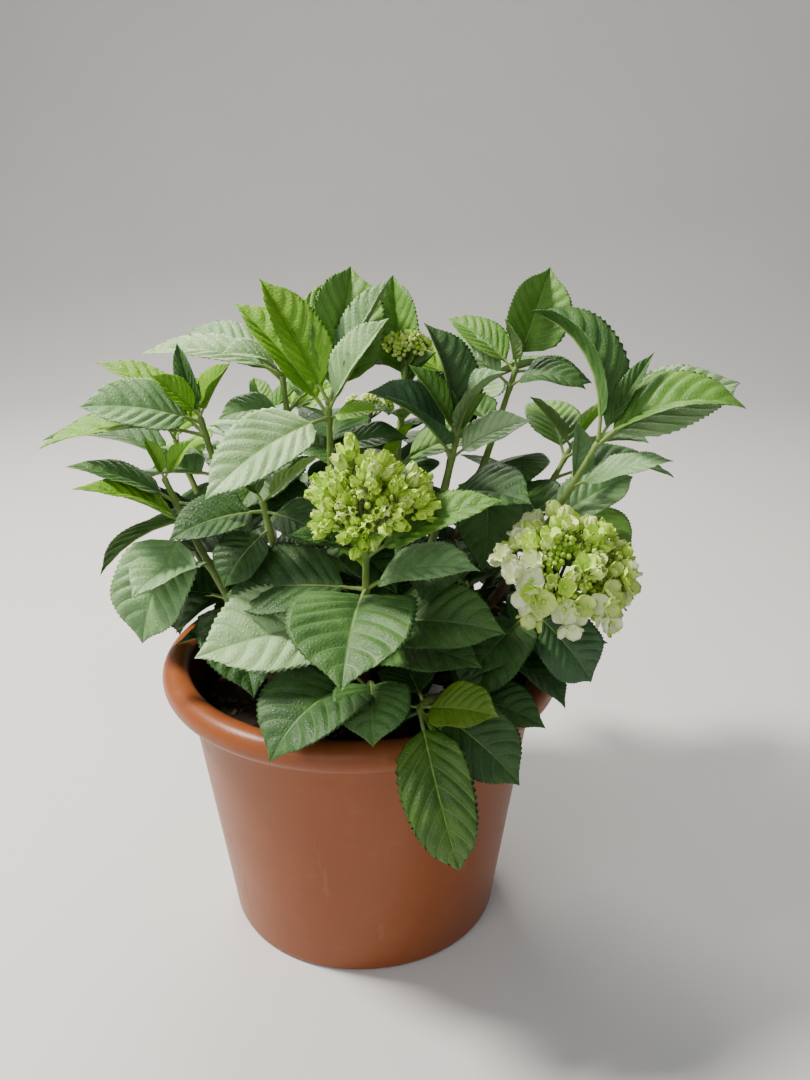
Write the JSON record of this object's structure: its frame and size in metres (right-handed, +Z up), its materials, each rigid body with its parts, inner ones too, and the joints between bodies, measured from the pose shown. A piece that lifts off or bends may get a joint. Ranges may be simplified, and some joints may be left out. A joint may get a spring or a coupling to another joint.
{
  "type": "potted hydrangea shrub",
  "caption": "Bigleaf hydrangea shrub with broad toothed leaves and opening green-cream flower heads, rooted in soil in a tapered round pot with a rolled rim.",
  "frame": {"origin": "centre of the pot's flat underside, on the ground", "axes": "+Z up, -Y towards the side with the large green flower head, +X to the right seen from that side"},
  "size_m": [0.6952, 0.5651, 0.6619],
  "materials": {
    "pot_plastic": "satin terracotta-coloured plastic",
    "potting_soil": "moist dark potting soil with bark chips",
    "cane_bark": "thin pale brown bark over a green-brown cane",
    "foliage": "green leaves, green stems and green to cream florets",
    "tag_plastic": "plain off-white thin plastic"
  },
  "bodies": {
    "root": {"pot": "pot_plastic", "soil": "potting_soil", "cane_front_bloom": "cane_bark", "shoot_front_bloom": "foliage", "cane_right_bloom": "cane_bark", "shoot_right_bloom": "foliage", "cane_top_left": "cane_bark", "shoot_top_left": "foliage", "cane_right_high": "cane_bark", "shoot_right_high": "foliage", "cane_left_high": "cane_bark", "shoot_left_high": "foliage", "cane_top_right": "cane_bark", "shoot_top_right": "foliage", "cane_mid_right": "cane_bark", "shoot_mid_right": "foliage", "cane_rear_bloom": "cane_bark", "shoot_rear_bloom": "foliage", "cane_left_low": "cane_bark", "shoot_left_low": "foliage", "cane_rear_left": "cane_bark", "shoot_rear_left": "foliage", "cane_low_front": "cane_bark", "shoot_low_front": "foliage", "cane_low_left": "cane_bark", "shoot_low_left": "foliage", "cane_mid_left": "cane_bark", "shoot_mid_left": "foliage", "cane_mid_low": "cane_bark", "shoot_mid_low": "foliage", "cane_centre": "cane_bark", "shoot_centre": "foliage", "cane_left_rear": "cane_bark", "shoot_left_rear": "foliage", "cane_rear_right": "cane_bark", "shoot_rear_right": "foliage", "cane_rear_far": "cane_bark", "shoot_rear_far": "foliage", "cane_rear_low": "cane_bark", "shoot_rear_low": "foliage", "cane_right_rear": "cane_bark", "shoot_right_rear": "foliage", "cane_rear_skirt": "cane_bark", "shoot_rear_skirt": "foliage", "cane_left_skirt": "cane_bark", "shoot_left_skirt": "foliage", "cane_right_skirt": "cane_bark", "shoot_right_skirt": "foliage", "tag": "tag_plastic"}
  },
  "joints": []
}
